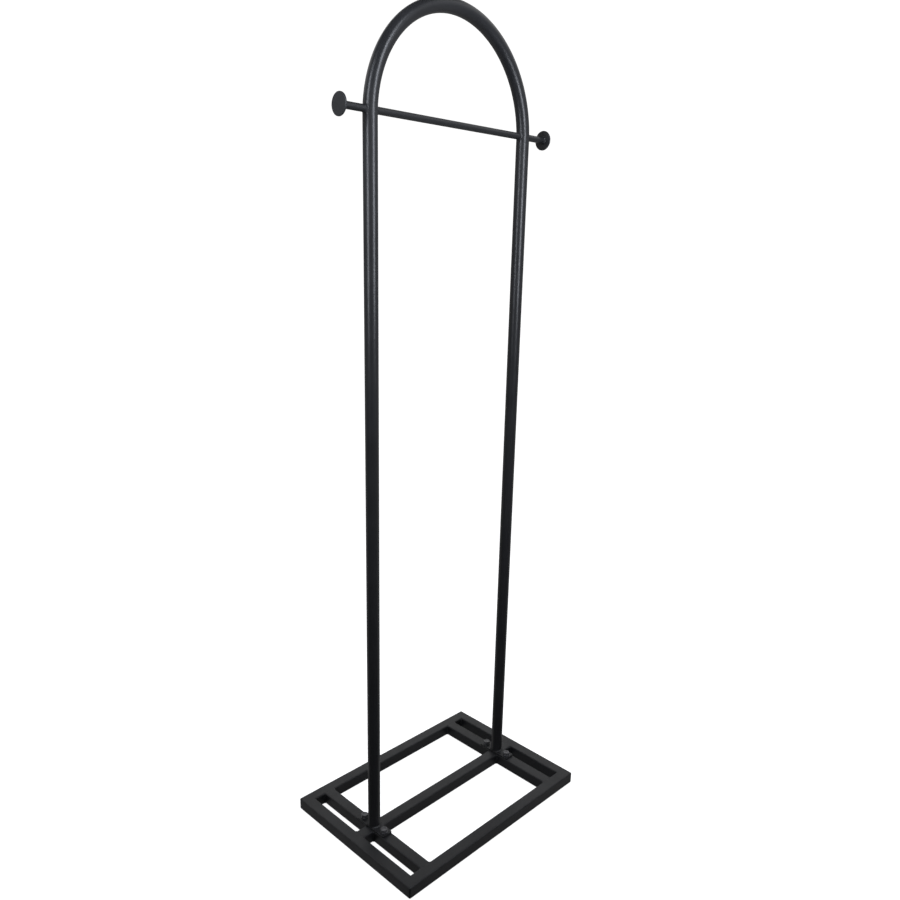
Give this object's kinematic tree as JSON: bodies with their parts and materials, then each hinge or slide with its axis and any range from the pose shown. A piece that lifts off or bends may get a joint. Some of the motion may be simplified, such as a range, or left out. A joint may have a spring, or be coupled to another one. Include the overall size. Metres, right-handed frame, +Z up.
{
  "type": "valet stand",
  "caption": "Tall free-standing valet stand: bent tube hoop with a hanging bar and end discs, bolted to a low rectangular welded base.",
  "frame": {"origin": "on the floor, under the middle of the base", "axes": "+Z up along the legs, +X along the hanging bar to the right, +Y from the front rail to the back rail"},
  "size_m": [0.508, 0.354, 1.583],
  "materials": {
    "black_powder_coat": "satin powder coat",
    "coated_weld": "satin powder coat over a weld bead",
    "black_fastener": "blackened steel",
    "zinc_insert": "zinc plated",
    "nylon_glide": "moulded nylon"
  },
  "bodies": {
    "root": {"hoop": "black_powder_coat", "hang_bar": "black_powder_coat", "left_disc": "black_powder_coat", "right_disc": "black_powder_coat", "left_foot_plate": "black_powder_coat", "right_foot_plate": "black_powder_coat", "front_rail": "black_powder_coat", "back_rail": "black_powder_coat", "left_end_rail": "black_powder_coat", "right_end_rail": "black_powder_coat", "left_inner_rail": "black_powder_coat", "right_inner_rail": "black_powder_coat", "centre_rail": "black_powder_coat", "left_bridge": "black_powder_coat", "right_bridge": "black_powder_coat", "left_front_bolt": "black_fastener", "left_back_bolt": "black_fastener", "right_front_bolt": "black_fastener", "right_back_bolt": "black_fastener", "left_front_washer": "black_fastener", "left_back_washer": "black_fastener", "right_front_washer": "black_fastener", "right_back_washer": "black_fastener", "left_front_insert": "zinc_insert", "left_back_insert": "zinc_insert", "right_front_insert": "zinc_insert", "right_back_insert": "zinc_insert", "left_front_glide": "nylon_glide", "left_back_glide": "nylon_glide", "right_front_glide": "nylon_glide", "right_back_glide": "nylon_glide", "left_leg_weld": "coated_weld", "right_leg_weld": "coated_weld", "left_bar_weld": "coated_weld", "right_bar_weld": "coated_weld", "left_disc_weld": "coated_weld", "right_disc_weld": "coated_weld", "left_base_weld": "coated_weld", "right_base_weld": "coated_weld"}
  },
  "joints": []
}
